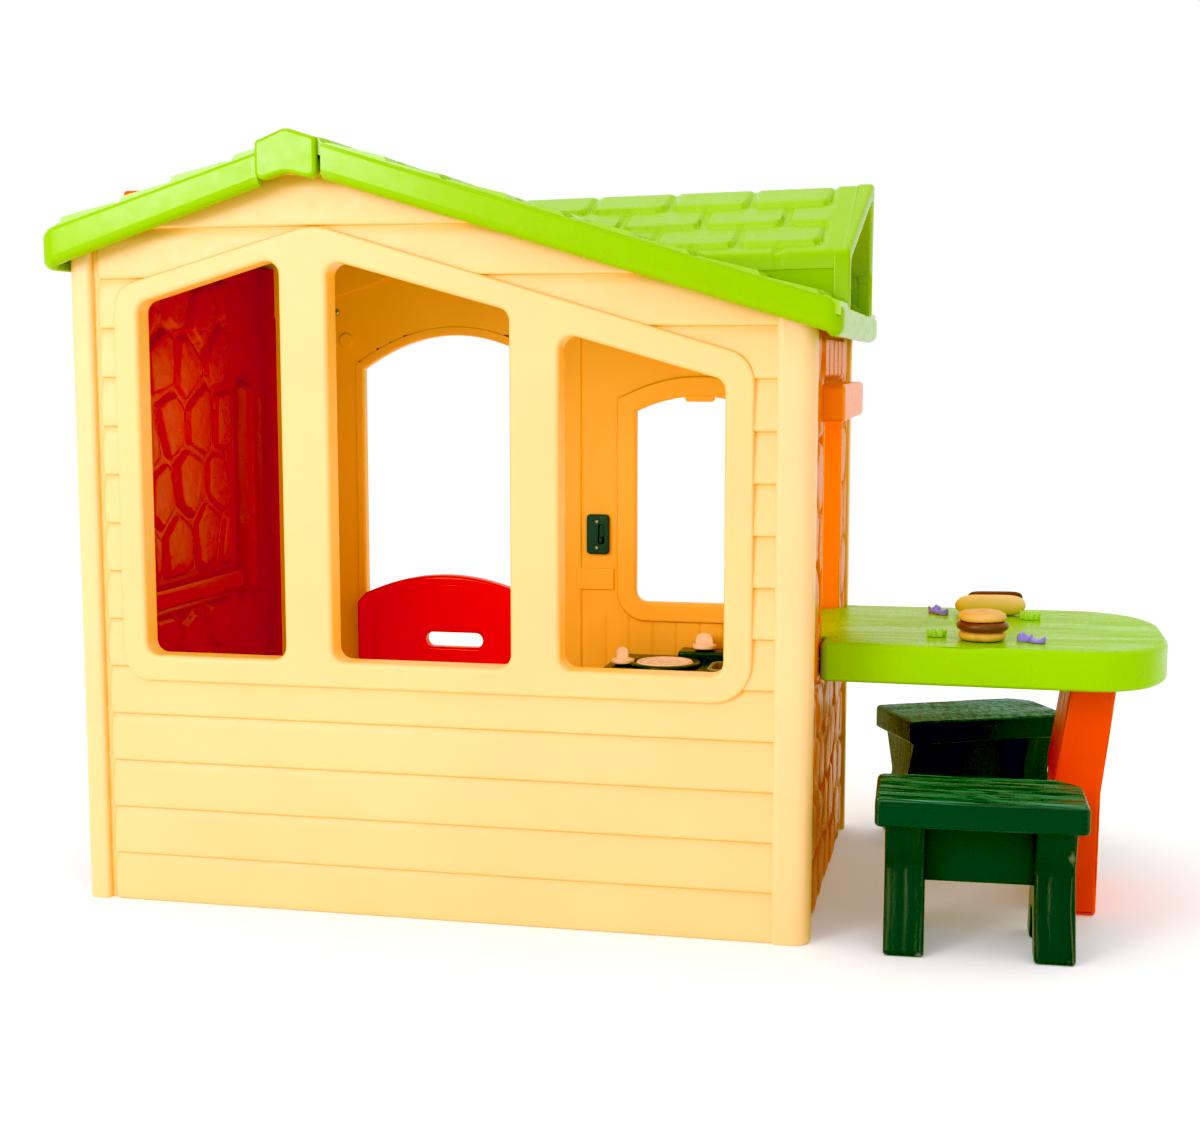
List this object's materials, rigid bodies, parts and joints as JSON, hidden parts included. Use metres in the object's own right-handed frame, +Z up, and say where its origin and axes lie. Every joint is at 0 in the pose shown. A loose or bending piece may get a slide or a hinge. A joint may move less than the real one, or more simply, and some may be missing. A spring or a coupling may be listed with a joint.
{
  "type": "plastic playhouse",
  "caption": "Moulded plastic playhouse with gabled shingle roof, windows, arched doorway with half door, play kitchen, and an outdoor picnic table with stools and play food.",
  "frame": {"origin": "centre of the bounding box's bottom face, on the floor", "axes": "+Z up; +X from the fireplace wall towards the picnic table; +Y from the three-window wall towards the doorway wall"},
  "size_m": [1.743, 0.8734, 1.207],
  "materials": {
    "wall_yellow": "satin",
    "wall_red": "satin",
    "wall_terracotta": "satin",
    "lime_plastic": "semi gloss",
    "orange_plastic": "semi gloss",
    "door_red": "semi gloss",
    "dark_green_plastic": "semi gloss, wood-grain relief",
    "basin_grey": "satin",
    "hob_white": "satin",
    "knob_beige": "satin",
    "teal_plastic": "satin",
    "screw_steel": "zinc plated",
    "bun_tan": "painted play food",
    "patty_brown": "painted play food",
    "sausage_red": "painted play food",
    "lettuce_green": "play food",
    "onion_purple": "play food"
  },
  "bodies": {
    "house": {"front_wall": "wall_yellow", "back_wall": "wall_yellow", "left_wall": "wall_red", "right_wall": "wall_terracotta", "roof_left": "lime_plastic", "roof_right": "lime_plastic", "chimney_cap": "orange_plastic", "kitchen_unit": "dark_green_plastic", "sink_basin": "basin_grey", "hob_plate": "hob_white", "phone_cradle": "teal_plastic", "table_top": "lime_plastic", "table_leg": "orange_plastic", "door_pivot_lower": "screw_steel", "door_pivot_upper": "screw_steel", "phone_cradle_screw_lower": "screw_steel", "phone_cradle_screw_upper": "screw_steel", "roof_left_screw_front": "screw_steel", "roof_left_screw_back": "screw_steel", "roof_right_screw_front": "screw_steel", "roof_right_screw_back": "screw_steel", "table_screw_near": "screw_steel", "table_screw_far": "screw_steel"},
    "half_door": {"half_door": "door_red"},
    "knob_left": {"knob_left": "knob_beige"},
    "knob_right": {"knob_right": "knob_beige"},
    "stool_front": {"stool_front": "dark_green_plastic"},
    "stool_back": {"stool_back": "dark_green_plastic"},
    "burger": {"burger_bottom_bun": "bun_tan", "burger_patty": "patty_brown", "burger_top_bun": "bun_tan"},
    "hot_dog": {"hot_dog_bun": "bun_tan", "hot_dog_sausage": "sausage_red"},
    "lettuce_front": {"lettuce_front": "lettuce_green"},
    "lettuce_back": {"lettuce_back": "lettuce_green"},
    "onion_front": {"onion_front": "onion_purple"},
    "onion_back": {"onion_back": "onion_purple"}
  },
  "joints": [
    {"name": "half_door_swing", "type": "hinge", "parent": "house", "child": "half_door", "pos_m": [-0.5735, 0.26632, 0.24], "axis": [0, 0, -1], "range_deg": [0, 95]},
    {"name": "knob_left_turn", "type": "hinge", "parent": "house", "child": "knob_left", "pos_m": [-0.0455, 0.15732, 0.33], "axis": [0, 0, 1], "continuous": true},
    {"name": "knob_right_turn", "type": "hinge", "parent": "house", "child": "knob_right", "pos_m": [0.0895, 0.25232, 0.346], "axis": [0, 0, 1], "continuous": true},
    {"name": "stool_front_pull", "type": "slide", "parent": "house", "child": "stool_front", "axis": [0, -1, 0], "range_m": [0, 0.3]},
    {"name": "stool_back_pull", "type": "slide", "parent": "house", "child": "stool_back", "axis": [0, 1, 0], "range_m": [0, 0.3]},
    {"name": "burger_lift", "type": "slide", "parent": "house", "child": "burger", "axis": [0, 0, 1], "range_m": [0, 0.15]},
    {"name": "hot_dog_lift", "type": "slide", "parent": "house", "child": "hot_dog", "axis": [0, 0, 1], "range_m": [0, 0.15]},
    {"name": "lettuce_front_lift", "type": "slide", "parent": "house", "child": "lettuce_front", "axis": [0, 0, 1], "range_m": [0, 0.1]},
    {"name": "lettuce_back_lift", "type": "slide", "parent": "house", "child": "lettuce_back", "axis": [0, 0, 1], "range_m": [0, 0.1]},
    {"name": "onion_front_lift", "type": "slide", "parent": "house", "child": "onion_front", "axis": [0, 0, 1], "range_m": [0, 0.1]},
    {"name": "onion_back_lift", "type": "slide", "parent": "house", "child": "onion_back", "axis": [0, 0, 1], "range_m": [0, 0.1]}
  ]
}
